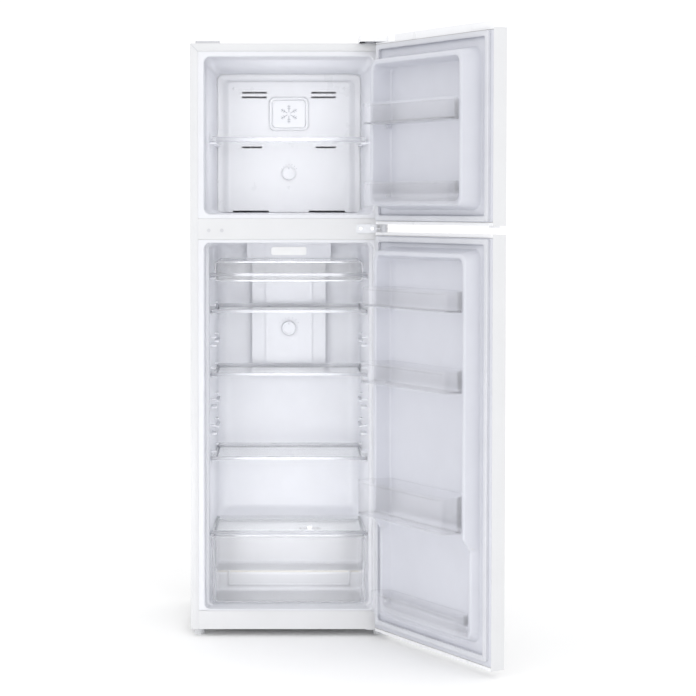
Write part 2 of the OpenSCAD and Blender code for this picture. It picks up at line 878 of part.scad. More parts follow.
module fridge_door_liner() {
    color(cool_white) swung() {
        difference() {
            union() {
                door_panel(fridge_inner_z, [door_back - liner_t, door_back], inner_half);
                stepped_ridge(0);
                bin_lugs(fridge_bins);
            }
            stepped_ridge(liner_t);
        }
    }
}

module door_gasket(z) {
    half = half_w - gasket_inset;
    y = [door_back, -0.5];
    color([0.9, 0.9, 0.92]) swung() difference() {
        front_slab([-half, half], z, 6, y);
        front_slab([-half + gasket_w, half - gasket_w], wide(z, -gasket_w), 3, wide(y, 1));
    }
}

module freezer_door_gasket() {
    door_gasket(freezer_gasket_z);
}

module fridge_door_gasket() {
    door_gasket(fridge_gasket_z);
}

module door_cap(z) {
    block([-inner_half, inner_half], [door_front + sheet_t, door_back], z);
}

module freezer_door_caps() {
    color(white) swung() {
        difference() {
            union() {
                door_cap([freezer_door_z[0], freezer_inner_z[0]]);
                door_cap([freezer_inner_z[1], freezer_door_z[1]]);
                post(pin_x, pin_y, [freezer_door_z[0] + 1, freezer_bosses[0][1]], 8);
                post(pin_x, pin_y, [freezer_bosses[1][0], freezer_inner_z[1] + 1], 8);
            }
            hinge_recess();
            post(pin_x, pin_y, [freezer_door_z[0] - 1, 1168], pin_bore_r);
            post(pin_x, pin_y, [cab_top - 20, cab_top + 1], pin_bore_r);
        }
        block([-half_w + 0.3, -half_w + recess_w - 0.3], [door_front + 0.3, door_back],
              [recess_floor + 0.2, freezer_door_z[1]]);
        block([-half_w + 12, -half_w + 34], [door_front + 12, door_front + 30],
              [freezer_door_z[0] - 5, freezer_door_z[0]]);
    }
}

module fridge_door_caps() {
    color(white) swung() {
        difference() {
            union() {
                door_cap([fridge_door_z[0], fridge_inner_z[0]]);
                door_cap([fridge_inner_z[1], fridge_door_z[1]]);
                post(pin_x, pin_y, [fridge_door_z[0] + 1, fridge_bosses[0][1]], 8);
                post(pin_x, pin_y, [fridge_bosses[1][0], fridge_inner_z[1] + 1], 8);
            }
            post(pin_x, pin_y, [fridge_door_z[0] - 1, 48], pin_bore_r);
            post(pin_x, pin_y, [1102, fridge_door_z[1] + 1], pin_bore_r);
        }
        block([-half_w + 12, -half_w + 60], [door_front + 10, door_front + 30],
              [fridge_door_z[0] - 4, fridge_door_z[0]]);
        block([half_w - 66, half_w - 34], [door_front + 10, door_front + 30],
              [fridge_door_z[0] - 3, fridge_door_z[0]]);
    }
}

// A clear tray: a neck between the ridges and a wider front that overhangs them
module bin(b, shoulder) {
    y = [door_back + 1.5, door_back + b[2]];
    ys = door_back + shoulder + 1.5;
    color(clear) swung() difference() {
        union() {
            block([-bin_neck_half, bin_neck_half], [y[0], ys + 12], [b[3], b[1]]);
            level_slab([-bin_half, bin_half], [ys, y[1]], 12, [b[0], b[1]]);
        }
        block([-bin_neck_half + bin_t, bin_neck_half - bin_t], [y[0] + bin_t, ys + 14],
              [b[3] + bin_t, b[1] + 1]);
        level_slab([-bin_half + bin_t, bin_half - bin_t], [ys + bin_t, y[1] - bin_t], 10,
                   [b[0] + bin_t, b[1] + 1]);
    }
}

module freezer_bin_lower() { bin(freezer_bins[0], freezer_ridge); }
module freezer_bin_upper() { bin(freezer_bins[1], freezer_ridge); }
module fridge_bin_bottom() { bin(fridge_bins[0], low_ridge); }
module fridge_bin_lower() { bin(fridge_bins[1], fridge_ridge); }
module fridge_bin_middle() { bin(fridge_bins[2], fridge_ridge); }
module fridge_bin_top() { bin(fridge_bins[3], fridge_ridge); }

outer_shell();
back_panel();
base_plate();
cabinet_foam();
freezer_liner();
fridge_liner();
crossbeam_plate();
evaporator_cover();
fan_cover();
evaporator_coil();
defrost_heater();
fan_motor();
fan_blades();
freezer_dial();
damper_vane();
air_duct_cover();
fridge_dial();
lamp_lens();
compressor();
refrigerant_pipes();
drip_tray();
power_inlet();
top_hinge_bracket();
top_hinge_cover();
middle_hinge_bracket();
bottom_hinge_bracket();
hinge_screws();
hinge_hole_caps();
left_foot();
right_foot();
rear_rollers();
freezer_shelf();
glass_shelf_lower();
glass_shelf_middle();
glass_shelf_upper();
shelf_trims_lower();
shelf_trims_middle();
shelf_trims_upper();
crisper_cover();
crisper_cover_trim();
humidity_slider();
crisper_drawer();
chiller_drawer();
freezer_door_skin();
freezer_door_foam();
freezer_door_liner();
freezer_door_gasket();
freezer_door_caps();
freezer_bin_lower();
freezer_bin_upper();
fridge_door_skin();
fridge_door_foam();
fridge_door_liner();
fridge_door_gasket();
fridge_door_caps();
fridge_bin_bottom();
fridge_bin_lower();
fridge_bin_middle();
fridge_bin_top();
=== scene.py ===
import json
import math

import bmesh
import bpy
from mathutils import Matrix, Vector


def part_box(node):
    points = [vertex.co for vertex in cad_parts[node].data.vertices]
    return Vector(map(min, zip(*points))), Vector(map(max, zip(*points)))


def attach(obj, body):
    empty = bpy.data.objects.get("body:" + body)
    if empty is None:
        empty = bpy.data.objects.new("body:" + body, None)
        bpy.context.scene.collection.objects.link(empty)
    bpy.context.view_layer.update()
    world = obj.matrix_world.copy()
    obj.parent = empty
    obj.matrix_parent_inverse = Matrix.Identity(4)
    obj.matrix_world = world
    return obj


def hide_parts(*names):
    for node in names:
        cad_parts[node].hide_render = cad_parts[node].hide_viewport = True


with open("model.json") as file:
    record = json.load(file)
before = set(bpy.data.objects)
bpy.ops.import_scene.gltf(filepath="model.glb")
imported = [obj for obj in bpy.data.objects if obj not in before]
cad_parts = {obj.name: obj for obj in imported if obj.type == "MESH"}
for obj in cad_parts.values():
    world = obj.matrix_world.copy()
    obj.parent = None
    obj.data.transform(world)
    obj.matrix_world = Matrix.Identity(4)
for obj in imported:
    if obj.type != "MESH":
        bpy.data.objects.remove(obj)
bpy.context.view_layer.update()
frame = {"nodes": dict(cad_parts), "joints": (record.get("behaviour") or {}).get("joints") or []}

# ---------------------------------------------------------------- the frame's own measures
# Pieces are drawn in millimetres: x to the right, y the depth behind the cabinet's front plane, z up.
# Doors are drawn closed and turned about their pins to the angle at which they stand at rest.

MM = 0.001


def node_box(node):
    """A CAD node's corners in drawing units, as [low x, y, z], [high x, y, z]."""
    low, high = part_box(node)
    shift = Vector((0, FRONT_Y, 0))
    return (Vector(low) - shift) / MM, (Vector(high) - shift) / MM


FRONT_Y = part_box("outer_shell")[0][1]
PLACE = Matrix.Translation((0, FRONT_Y, 0)) @ Matrix.Diagonal((MM, MM, MM, 1))
HINGE = next(j for j in frame["joints"] if j["name"] == "fridge_door_hinge")
PIN = Vector((HINGE["pos_m"][0] / MM, (HINGE["pos_m"][1] - FRONT_Y) / MM, 0))
REST_ANGLE = math.radians(-HINGE["range_deg"][0])
SWUNG = (PLACE @ Matrix.Translation(PIN) @ Matrix.Rotation(REST_ANGLE, 4, "Z")
         @ Matrix.Translation(-PIN))

shell_low, shell_high = node_box("outer_shell")
HALF_W = shell_high.x
CAB_D = shell_high.y
CAB_TOP = shell_high.z
LEG_H = shell_low.z
SEAM_HALF = HALF_W - 22  # half width between the side flanges
MOUTH_HALF = 233         # half width of both compartments at their mouths
DOOR_BACK = -10          # the inner and outer faces of a closed door
DOOR_FRONT = -52
RECESS_W = 95            # width of the hinge recesses in the top of the freezer door's skin
RECESS_Z = CAB_TOP - 2
RIDGE_FOOT = 47          # distance from a door's edges to its ridge
RIDGE_Z = {"freezer_door": (1185, CAB_TOP - 44), "fridge_door": (82, 1086)}
LINER_BACK = 211         # half width of both compartments at their backs
FRIDGE_DEPTH = 445       # the fresh-food compartment's back wall
BAY = {"depth": 290, "roof": 97, "step_depth": 386, "step_roof": 235, "back_roof": 252, "half": 250}
FOAM_SETBACK = 1.6       # the foam stands this far behind its skins, so that it never shows at an edge

# ---------------------------------------------------------------- materials


def material(name, colour, roughness, metallic=0.0, vary=0.03, vary_scale=14.0, rough_vary=0.08,
             bump=0.0, bump_scale=600.0, coat=0.0):
    """A finish whose colour and gloss drift slightly and whose surface has a fine relief."""
    m = bpy.data.materials.new(name)
    m.use_nodes = True
    nodes, links = m.node_tree.nodes, m.node_tree.links
    shader = nodes["Principled BSDF"]
    shader.inputs["Metallic"].default_value = metallic
    shader.inputs["Coat Weight"].default_value = coat
    shader.inputs["Coat Roughness"].default_value = 0.12
    where = nodes.new("ShaderNodeTexCoord")
    drift = nodes.new("ShaderNodeTexNoise")
    drift.inputs["Scale"].default_value = vary_scale
    drift.inputs["Detail"].default_value = 4.0
    links.new(where.outputs["Object"], drift.inputs["Vector"])
    tint = nodes.new("ShaderNodeValToRGB")
    tint.color_ramp.elements[0].position = 0.3
    tint.color_ramp.elements[1].position = 0.7
    tint.color_ramp.elements[0].color = (*[c * (1 - vary) for c in colour], 1)
    tint.color_ramp.elements[1].color = (*[min(1, c * (1 + vary * 0.5)) for c in colour], 1)
    links.new(drift.outputs["Fac"], tint.inputs["Fac"])
    links.new(tint.outputs["Color"], shader.inputs["Base Color"])
    gloss = nodes.new("ShaderNodeMapRange")
    gloss.inputs["To Min"].default_value = max(0.02, roughness - rough_vary)
    gloss.inputs["To Max"].default_value = min(1.0, roughness + rough_vary)
    links.new(drift.outputs["Fac"], gloss.inputs["Value"])
    links.new(gloss.outputs["Result"], shader.inputs["Roughness"])
    if bump:
        grain = nodes.new("ShaderNodeTexNoise")
        grain.inputs["Scale"].default_value = bump_scale
        grain.inputs["Detail"].default_value = 3.0
        links.new(where.outputs["Object"], grain.inputs["Vector"])
        relief = nodes.new("ShaderNodeBump")
        relief.inputs["Strength"].default_value = bump
        relief.inputs["Distance"].default_value = 0.0006
        links.new(grain.outputs["Fac"], relief.inputs["Height"])
        links.new(relief.outputs["Normal"], shader.inputs["Normal"])
    return m


def clear_material(name, colour, rim_colour, face_alpha, edge_alpha, roughness):
    """A clear plastic or glass: see-through face on, denser and greyer at a glancing angle."""
    m = bpy.data.materials.new(name)
    m.use_nodes = True
    nodes, links = m.node_tree.nodes, m.node_tree.links
    shader = nodes["Principled BSDF"]
    shader.inputs["IOR"].default_value = 1.5
    shader.inputs["Specular IOR Level"].default_value = 0.7
    where = nodes.new("ShaderNodeTexCoord")
    drift = nodes.new("ShaderNodeTexNoise")
    drift.inputs["Scale"].default_value = 22.0
    drift.inputs["Detail"].default_value = 3.0
    links.new(where.outputs["Object"], drift.inputs["Vector"])
    facing = nodes.new("ShaderNodeLayerWeight")
    facing.inputs["Blend"].default_value = 0.3
    body = nodes.new("ShaderNodeValToRGB")
    body.color_ramp.elements[0].color = (*[c * 0.96 for c in colour], 1)
    body.color_ramp.elements[1].color = (*colour, 1)
    links.new(drift.outputs["Fac"], body.inputs["Fac"])
    tint = nodes.new("ShaderNodeMix")
    tint.data_type = "RGBA"
    tint.inputs["B"].default_value = (*rim_colour, 1)
    links.new(facing.outputs["Facing"], tint.inputs["Factor"])
    links.new(body.outputs["Color"], tint.inputs["A"])
    links.new(tint.outputs["Result"], shader.inputs["Base Color"])
    gloss = nodes.new("ShaderNodeMapRange")
    gloss.inputs["To Min"].default_value = roughness * 0.6
    gloss.inputs["To Max"].default_value = roughness * 1.5
    links.new(drift.outputs["Fac"], gloss.inputs["Value"])
    links.new(gloss.outputs["Result"], shader.inputs["Roughness"])
    density = nodes.new("ShaderNodeMapRange")
    density.inputs["To Min"].default_value = face_alpha
    density.inputs["To Max"].default_value = edge_alpha
    links.new(facing.outputs["Facing"], density.inputs["Value"])
    links.new(density.outputs["Result"], shader.inputs["Alpha"])
    return m


PAINT = material("white_paint", (0.7, 0.705, 0.72), 0.32, vary=0.015, bump=0.12, bump_scale=700,
                 coat=0.15)
LINER = material("liner_plastic", (0.745, 0.753, 0.79), 0.36, vary=0.02, bump=0.06, bump_scale=350)
# The doors' inner faces are the same liner plastic, darkened: a painted shade that stands in for the
# duller light on the open doors.
SHADED_DOOR_LINER = material("door_liner_painted_shade", (0.6, 0.61, 0.665), 0.36, vary=0.02, bump=0.06, bump_scale=350)
WHITE = material("white_plastic", (0.84, 0.845, 0.865), 0.3, vary=0.015, bump=0.05, bump_scale=500)
GASKET = material("gasket_vinyl", (0.63, 0.64, 0.68), 0.6, vary=0.04, bump=0.2, bump_scale=900)
STEEL = material("galvanised_steel", (0.62, 0.63, 0.66), 0.38, metallic=0.85, vary=0.16,
                 vary_scale=90, rough_vary=0.14, bump=0.1, bump_scale=300)
SCREW = material("screw_steel", (0.72, 0.73, 0.75), 0.25, metallic=1.0, vary=0.1, vary_scale=200,
                 bump=0.1, bump_scale=900)
ALUMINIUM = material("fin_aluminium", (0.75, 0.76, 0.78), 0.34, metallic=0.9, vary=0.08,
                     vary_scale=60, bump=0.1, bump_scale=500)
COPPER = material("copper_pipe", (0.66, 0.36, 0.24), 0.35, metallic=1.0, vary=0.25, vary_scale=40,
                  rough_vary=0.15, bump=0.1, bump_scale=300)
BLACK = material("black_enamel", (0.025, 0.025, 0.028), 0.35, vary=0.4, vary_scale=30,
                 rough_vary=0.12, bump=0.2, bump_scale=250, coat=0.3)
DARK = material("dark_plastic", (0.09, 0.09, 0.1), 0.55, vary=0.2, vary_scale=50, bump=0.2,
                bump_scale=800)
GREY = material("grey_plastic", (0.7, 0.71, 0.73), 0.45, vary=0.05, bump=0.15, bump_scale=700)
FOAM = material("insulation_foam", (0.87, 0.83, 0.7), 0.85, vary=0.15, vary_scale=60, bump=0.6,
                bump_scale=300)
LAMP = material("lamp_diffuser", (0.93, 0.93, 0.92), 0.4, vary=0.03, bump=0.1, bump_scale=900)
CLEAR = clear_material("clear_plastic", (0.96, 0.965, 0.98), (0.78, 0.79, 0.84), 0.02, 0.34, 0.1)
BIN = clear_material("bin_plastic", (0.88, 0.89, 0.95), (0.72, 0.73, 0.8), 0.03, 0.32, 0.1)
RIM = clear_material("thick_clear_plastic", (0.8, 0.81, 0.85), (0.45, 0.46, 0.52), 0.42, 0.95, 0.1)
# The trims are grey translucent plastic. Their tone is also darkened as a painted shade, to offset the
# glow lamps that sit close in front of them.
TRIM = clear_material("trim_plastic", (0.6, 0.61, 0.65), (0.5, 0.51, 0.56), 0.42, 0.85, 0.15)
GLASS = clear_material("shelf_glass", (0.96, 0.98, 0.98), (0.86, 0.89, 0.9), 0.03, 0.3, 0.05)
# The hinge hole caps are white plastic; this grey is a painted shade that sets them apart from the white
# around them.
SHADED_CAP = material("cap_plastic_painted_shade", (0.6, 0.605, 0.63), 0.4, vary=0.04, bump=0.1, bump_scale=700)
PRINT = material("grey_print", (0.42, 0.43, 0.47), 0.5, vary=0.1, vary_scale=80)

# ---------------------------------------------------------------- mesh helpers


def build(name, verts, faces, body, finish, slot, matrix=PLACE, replaced=(), sharp=38.0,
          thickness=0.0, smooth=True):
    """Makes one piece from drawing points and rides it on its body."""
    mesh = bpy.data.meshes.new(name)
    bm = bmesh.new()
    made = [bm.verts.new(matrix @ Vector(v)) for v in verts]
    for f in faces:
        corners = []
        for i in f:
            if made[i] not in corners:
                corners.append(made[i])
        if len(corners) > 2:
            bm.faces.new(corners)
    bmesh.ops.remove_doubles(bm, verts=bm.verts, dist=1e-7)
    bmesh.ops.recalc_face_normals(bm, faces=bm.faces)
    for f in bm.faces:
        f.smooth = smooth
    for e in bm.edges:
        e.smooth = len(e.link_faces) == 2 and e.calc_face_angle(0) < math.radians(sharp)
    bm.to_mesh(mesh)
    bm.free()
    piece = bpy.data.objects.new(name, mesh)
    bpy.context.scene.collection.objects.link(piece)
    mesh.materials.append(finish)
    if thickness:
        solid = piece.modifiers.new("thickness", "SOLIDIFY")
        solid.thickness = thickness * MM
        solid.offset = -1
    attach(piece, body)
    if replaced:
        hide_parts(*replaced)
    return piece


def loft(rings, closed=True, caps=(False, False), loop=False):
    """Faces between rings of equally many points; loop joins the last ring to the first."""
    n = len(rings[0])
    verts = [p for ring in rings for p in ring]
    faces = []
    span = n if closed else n - 1
    pairs = list(zip(range(len(rings) - 1), range(1, len(rings))))
    if loop:
        pairs.append((len(rings) - 1, 0))
    for a, b in pairs:
        for i in range(span):
            j = (i + 1) % n
            faces.append((a * n + i, a * n + j, b * n + j, b * n + i))
    if caps[0]:
        faces.append(tuple(range(n)))
    if caps[1]:
        faces.append(tuple(range((len(rings) - 1) * n, len(rings) * n)))
    return verts, faces


def quarter(steps, first=0):
    """The sine and cosine at even steps of a quarter turn."""
    turn = [math.pi / 2 * k / steps for k in range(first, steps + 1)]
    return [(math.sin(a), math.cos(a)) for a in turn]


def on_side(side, near, far):
    """A range of x between two distances from the middle, on the side -1 or 1."""
    return sorted((side * near, side * far))


def arc(cx, cy, r, start, end, steps):
    """Points on an arc, with angles in degrees."""
    turn = [math.radians(start + (end - start) * k / steps) for k in range(steps + 1)]
    return [(cx + r * math.cos(a), cy + r * math.sin(a)) for a in turn]


def rounded_polygon(corners, steps=6):
    """An outline with arcs at its corners; corners are (x, y, radius), the same count for any radius."""
    out = []
    n = len(corners)
    for k, (x, y, r) in enumerate(corners):
        p = Vector((x, y))
        before = (Vector(corners[k - 1][:2]) - p).normalized()
        after = (Vector(corners[(k + 1) % n][:2]) - p).normalized()
        half = before.angle(after) / 2
        reach = r / math.tan(half)
        centre = p + (before + after).normalized() * (r / math.sin(half))
        first, last = p + before * reach - centre, p + after * reach - centre
        sweep = first.angle_signed(last) if r > 1e-6 else 0.0
        for s in range(steps + 1):
            turned = first.copy()
            turned.rotate(Matrix.Rotation(-sweep * s / steps, 2))
            out.append(tuple(centre + turned))
    return out


def rounded_rect(x0, x1, z0, z1, r, steps=8):
    """A rectangle's outline with rounded corners."""
    return rounded_polygon([(x0, z0, r), (x1, z0, r), (x1, z1, r), (x0, z1, r)], steps)


def lerp(a, b, f):
    """The value a fraction f of the way from a to b."""
    return a + (b - a) * f


def interpolate(points, x):
    """Height of a polyline of (x, y) points at x."""
    for (xa, ya), (xb, yb) in zip(points, points[1:]):
        if x <= xb:
            return lerp(ya, yb, (x - xa) / (xb - xa)) if xb > xa else yb
    return points[-1][1]


def lying(p, h):
    """A point of an outline in x and y, with the thickness upwards."""
    return (p[0], p[1], h)


def facing_front(p, h):
    """A point of an outline in x and z, with the thickness along the depth."""
    return (p[0], h, p[1])


def slab(outline, low, high, edge, stand=lying):
    """A plate of an outline given as a function of its inset, with rounded edges."""
    rings = [(outline(edge * (1 - s)), low + edge * (1 - c)) for s, c in quarter(2)]
    rings += [(outline(edge * (1 - c)), high - edge * (1 - s)) for s, c in quarter(2)]
    return loft([[stand(p, h) for p in ring] for ring, h in rings], caps=(True, True))


def merge(*parts):
    """Several (points, faces) parts as one."""
    verts, faces = [], []
    for v, f in parts:
        base = len(verts)
        verts += v
        faces += [tuple(i + base for i in face) for face in f]
    return verts, faces


def box_part(x, y, z, edge):
    """A block with rounded edges."""
    def outline(inset):
        r = max(edge - inset, 0.01)
        return rounded_rect(x[0] + inset, x[1] - inset, y[0] + inset, y[1] - inset, r, 2)
    return slab(outline, z[0], z[1], edge)


def plate_part(x, z, r, y, edge):
    """A rounded plate that faces the front."""
    def outline(inset):
        return rounded_rect(x[0] + inset, x[1] - inset, z[0] + inset, z[1] - inset,
                            max(r - inset, 0.05), 6)
    return slab(outline, y[0], y[1], edge, facing_front)


def turned_part(profile, centre, steps=48):
    """A part revolved about the depth, from (radius, along) points; a radius of 0 closes an end."""
    turns = [2 * math.pi * k / steps for k in range(steps)]
    rings = [[(centre[0] + r * math.cos(a), centre[1] + along, centre[2] + r * math.sin(a))
              for a in turns] for r, along in profile]
    return loft(rings, caps=(profile[0][0] > 0, profile[-1][0] > 0))


def dress(node, finish, bevel):
    """Keeps a CAD node and gives it a finish and slightly rounded edges, or, for foam, whose bevel
    is 0, a place just behind its skins' rounded edges."""
    kept = frame["nodes"][node]
    kept.data.materials.clear()
    kept.data.materials.append(finish)
    if bevel:
        edge = kept.modifiers.new("edges", "BEVEL")
        edge.width = bevel * MM
        edge.segments = 2
        edge.limit_method = "ANGLE"
        edge.angle_limit = math.radians(30)
        edge.harden_normals = True
    else:
        behind = kept.modifiers.new("behind_skins", "DISPLACE")
        behind.strength = -FOAM_SETBACK * MM
        behind.mid_level = 0


# ---------------------------------------------------------------- cabinet


def cabinet_shell():
    """The steel wrap: two sides and a top in one folded sheet, with a flange round the front."""
    corner = 5

    def wrap(inset, y):
        x, top, r = HALF_W - inset, CAB_TOP - inset, max(corner - inset, 0.4)
        path = [(-x, LEG_H)] + arc(-x + r, top - r, r, 180, 90, 8)
        path += arc(x - r, top - r, r, 90, 0, 8) + [(x, LEG_H)]
        return [(px, y, pz) for px, pz in path]
    depths = [(22, 1.0), (22, 0.25), (21.6, 0), (2.4, 0), (1.1, 0.4), (0.35, 1.2), (0, 2.6),
              (0, CAB_D - 1.5), (0.3, CAB_D - 0.3), (1, CAB_D + 0.4), (2, CAB_D + 0.7),
              (9, CAB_D + 0.7)]
    part = loft([wrap(inset, y) for inset, y in depths], closed=False)
    build("cabinet_shell", *part, "cabinet", PAINT, "painted_steel", replaced=["outer_shell"],
          thickness=0.7, sharp=50)


def machine_bay():
    """The sheet lining of the machine bay, just inside the foam's stepped hollow. It starts at the
    height of the kick rail's top, which leaves the foam bare from there down to the base plate."""
    foot, gap = node_box("base_plate")[1].z, 0.6
    half, front, step = BAY["half"] - gap, BAY["depth"] + gap, BAY["step_depth"] + gap
    path = [(front, foot), (front, BAY["roof"] - gap), (step, BAY["roof"] - gap),
            (step, BAY["step_roof"] - gap), (CAB_D - 1, BAY["back_roof"] - gap)]
    sheet = loft([[(x, y, z) for x in (-half, half)] for y, z in path], closed=False)
    cheeks = []
    for x in (-half, half):
        corners = [(x, y, z) for y, z in path] + [(x, CAB_D - 1, foot)]
        cheeks.append((corners, [(0, 1, 2, 5), (2, 3, 4, 5)]))
        cheeks.append(box_part(sorted((x, math.copysign(HALF_W - 4, x))), (CAB_D - 1, CAB_D + 0.4),
                               (foot + 0.5, BAY["back_roof"] + 2), 0.3))
    build("machine_bay_lining", *merge(sheet, *cheeks), "cabinet", STEEL, "galvanised_steel",
          smooth=False)


def flange_seams():
    """The mitred joints of the front flange at its two top corners, as fine raised folds."""
    parts = []
    for side in (-1, 1):
        a = Vector((side * (HALF_W - 3), 0, CAB_TOP - 3))
        b = Vector((side * (SEAM_HALF + 0.5), 0, CAB_TOP - 21.5))
        across = Vector((b.z - a.z, 0, a.x - b.x)).normalized() * 0.35
        low, high = Vector((0, 0.1, 0)), Vector((0, -0.12, 0))
        corners = [a + across, b + across, b - across, a - across]
        parts.append(loft([[tuple(c + low) for c in corners], [tuple(c + high) for c in corners]],
                          caps=(True, True)))
    build("flange_mitres", *merge(*parts), "cabinet", PRINT, "painted_steel", smooth=False)


def liner_walls(depth, floor, ceiling, drop, mouth_r, back_r, floor_line, half_line, climb):
    """A moulded compartment, from its front edge to its back wall, as rings for ring_points.

    The ceiling falls by drop to the back. The floor follows floor_line and then goes on to the back
    at the slope climb. The front edge is rounded by lip and the edge of the back wall by back_r.
    """
    lip = 4.5
    rings = [(MOUTH_HALF + lip * (1 - s), floor - lip * (1 - s), ceiling + lip * (1 - s),
              mouth_r + lip * (1 - s), lip * (1 - c)) for s, c in quarter(6)]
    ceiling_line = [(0, ceiling), (60, ceiling - 1), (depth, ceiling - drop)]
    for y, z in floor_line:
        rings.append((half_line(y), z, interpolate(ceiling_line, y), mouth_r, y))
    last = rings[-1]
    for s, c in quarter(7, 1):
        inset, y = back_r * (1 - c), depth - back_r + back_r * s
        rings.append((last[0] - inset, last[1] + climb * (y - last[4]) + inset * 0.3,
                      last[2] - inset, mouth_r + 4, y))
    return rings


def ring_points(half, z0, z1, r, y):
    """A rounded rectangle standing across the cabinet at a depth."""
    return [(x, y, z) for x, z in rounded_rect(-half, half, z0, z1, r)]


def liner_flange(node):
    """The rings of a liner's front flange, which lies between the steel flanges."""
    low, high = node_box(node)
    return [(SEAM_HALF, low.z, high.z, 2.5, 1.8), (SEAM_HALF, low.z, high.z, 2.5, 0.5),
            (SEAM_HALF - 0.6, low.z + 0.6, high.z - 0.6, 2.2, 0)]


def freezer_liner():
    """The freezer compartment's moulded walls and the ribs that carry its shelf."""
    floor, ceiling, drop, depth, back_r = 1173, CAB_TOP - 37, 21, 462, 22

    def half(y):
        return lerp(MOUTH_HALF, LINER_BACK, y / depth)
    floor_line = [(y, floor + 3 * y / depth) for y in (20, 120, 260, 400, depth - back_r - 2)]
    walls = liner_walls(depth, floor, ceiling, drop, 17, back_r, floor_line, half, 0.0)
    rings = [ring_points(*r) for r in liner_flange("freezer_liner") + walls]
    build("freezer_cabinet_liner", *loft(rings, caps=(False, True)), "cabinet", LINER,
          "liner_plastic", replaced=["freezer_liner"], sharp=60)
    rib_top, rib_h = node_box("freezer_shelf")[0].z - 0.4, 5.7
    front_rib, back_rib = (152, 205), (330, 412)
    parts = []
    for side in (-1, 1):
        for rib in (front_rib, back_rib):
            x = on_side(side, half(back_rib[1]) - 8.5, half(rib[0]) + 1)
            parts.append(box_part(x, rib, (rib_top - rib_h, rib_top), 2.2))
    build("freezer_shelf_ribs", *merge(*parts), "cabinet", LINER, "liner_plastic")


def step_line():
    """The fresh-food floor's side outline: flat, a low step, the hump, then the slope to the back."""
    line = [(56, 78), (150, 78), (238, 78)]
    line += arc(238, 90, 12, -90, 0, 5)
    line += arc(262, 125, 12, 180, 90, 5) + [(348, 137)]
    line += arc(350, 149, 12, -90, 0, 5)
    return line + arc(376, 251, 14, 180, 108, 5) + [(407, 276.6)]


def fridge_half(y):
    """Half the fresh-food compartment's width at a depth behind its rebate."""
    rebate_y, rebate_half = 55, 222.5
    return lerp(rebate_half, LINER_BACK, (y - rebate_y) / (FRIDGE_DEPTH - rebate_y))


def fridge_liner():
    """The fresh-food compartment's moulded walls, with the rebate behind its mouth."""
    floor, ceiling, corner_r = 76, 1093, 15
    walls = liner_walls(FRIDGE_DEPTH, floor, ceiling, 5, corner_r, 38, step_line(), fridge_half, 0.33)
    edge_rings = len(quarter(6))
    mouth, inside = walls[:edge_rings], walls[edge_rings:]
    wide, start, bend = MOUTH_HALF - 1.5, 44, 3.5
    rebate = [(wide, floor + 0.6, ceiling - 0.6, corner_r, start)]
    for k, (s, c) in enumerate(quarter(6, 1), 1):
        drop = 0.6 + 0.6 * (k / 6)
        rebate.append((wide - bend * (1 - c), floor + drop, ceiling - drop, corner_r, start + bend * s))
    rebate += [(fridge_half(56) + bend * (1 - s), floor + 1.4, ceiling - 1.4, corner_r,
                start + 5 + 5 * (1 - c)) for s, c in quarter(6)]
    rings = [ring_points(*r) for r in liner_flange("fridge_liner") + mouth + rebate + inside]
    build("fridge_cabinet_liner", *loft(rings, caps=(False, True)), "cabinet", LINER,
          "liner_plastic", replaced=["fridge_liner"], sharp=60)


def shelf_ribs():
    """Moulded ribs on both side walls: six shelf levels, each with a front and a back pair, and the
    rails of the chiller and of the crisper's cover."""
    in_use = [node_box("shelf_trims_" + level)[0].z - 0.3 for level in ("lower", "middle", "upper")]
    spare = [804, 628.7, 553.7]
    chiller_rib, crisper_rib = (989.9, 995.6), (267.9, 273.6)
    parts = []
    for top in in_use + spare:
        for side in (-1, 1):
            for y0, y1 in ((114, 178), (300, 422)):
                wall = fridge_half(y0) + 1
                parts.append(box_part(on_side(side, 204, wall), (y0, y1), (top - 5.8, top), 2.2))
                # the short stop over the rib, which keeps a shelf from tipping
                parts.append(box_part(on_side(side, 206, wall), (y0 + 6, y0 + 30),
                                      (top + 18, top + 22.5), 1.8))
    for side in (-1, 1):
        parts.append(box_part(on_side(side, 205, 222), (92, 398), chiller_rib, 2.0))
        parts.append(box_part(on_side(side, 213, 222.3), (72, 358), crisper_rib, 2.0))
    build("fridge_shelf_ribs", *merge(*parts), "cabinet", LINER, "liner_plastic")


def back_wall_seam():
    """The shallow bead across the fresh-food back wall above the duct cover's head."""
    parts = [plate_part(on_side(side, 127, 206), (1029, 1035), 2.5, (441.5, 446), 1.2)
             for side in (-1, 1)]
    build("back_wall_beads", *merge(*parts), "cabinet", LINER, "liner_plastic")


def step_frame():
    """The raised frame moulded on the front of the floor's step."""
    parts = [box_part(on_side(side, 172, 178), (247.8, 252), (94, 137), 1.2)
             for side in (-1, 1)]
    parts.append(box_part((-178, 178), (247.8, 252), (92, 98), 1.2))
    build("floor_step_frame", *merge(*parts), "cabinet", LINER, "liner_plastic")


# ---------------------------------------------------------------- evaporator cover and dials


def snow_emblem():
    """A plain six-armed frost mark in relief on the fan cover."""
    low, high = node_box("fan_cover")
    cz, y, arm = (low.z + high.z) / 2, low.y - 0.35, 6
    parts = []

    def stroke(x0, z0, x1, z1, w):
        a, b = Vector((x0, z0)), Vector((x1, z1))
        side = Vector((a.y - b.y, b.x - a.x)).normalized() * w / 2
        quad = [a + side, b + side, b - side, a - side]
        parts.append(loft([[(q.x, y, q.y) for q in quad], [(q.x, low.y + 0.6, q.y) for q in quad]],
                          caps=(True, True)))
    for k in range(6):
        a = math.radians(60 * k + 30)
        c, s = math.cos(a), math.sin(a)
        stroke(5 * c, cz + 5 * s, 27 * c, cz + 27 * s, 1.8)
        for reach in (14, 20):
            for turn in (-1, 1):
                b = a + turn * math.radians(52)
                stroke(reach * c, cz + reach * s, reach * c + arm * math.cos(b),
                       cz + reach * s + arm * math.sin(b), 1.4)
    build("fan_cover_emblem", *merge(*parts), "cabinet", PRINT, "white_plastic", smooth=False)


